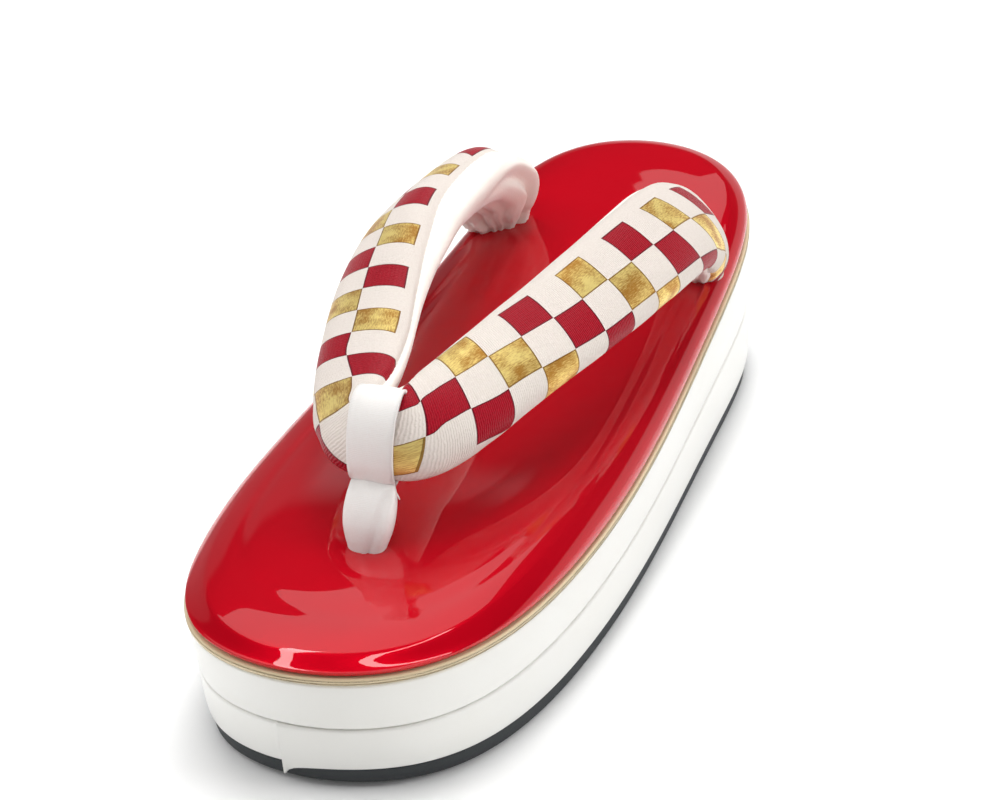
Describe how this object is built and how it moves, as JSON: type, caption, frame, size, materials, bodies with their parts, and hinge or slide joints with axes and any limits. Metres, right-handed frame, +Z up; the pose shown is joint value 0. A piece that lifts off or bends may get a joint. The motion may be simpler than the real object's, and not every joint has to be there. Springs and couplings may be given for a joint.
{
  "type": "zori sandal",
  "caption": "Flat-soled thong sandal with a wedge platform in wrapped layers, a glossy cushioned footbed and a padded checked thong held by a toe loop.",
  "frame": {"origin": "on the floor under the middle of the sandal's bounding box", "axes": "+Z up from the floor, the toe towards -Y and the heel towards +Y, X across the sole"},
  "size_m": [0.09, 0.2409, 0.0777],
  "materials": {
    "outsole_rubber": "matt charcoal rubber",
    "platform_vinyl": "satin pearl-white vinyl wrap",
    "welt_vinyl": "satin beige piping",
    "footbed_patent": "glossy red patent vinyl over a cushion",
    "thong_brocade": "white ribbed brocade with red and gold checks, plain velvet lining",
    "loop_cloth": "pearl-white satin band"
  },
  "bodies": {
    "root": {"outsole": "outsole_rubber", "lower_platform": "platform_vinyl", "upper_platform": "platform_vinyl", "welt": "welt_vinyl", "footbed_cushion": "footbed_patent", "thong": "thong_brocade", "toe_loop": "loop_cloth"}
  },
  "joints": []
}
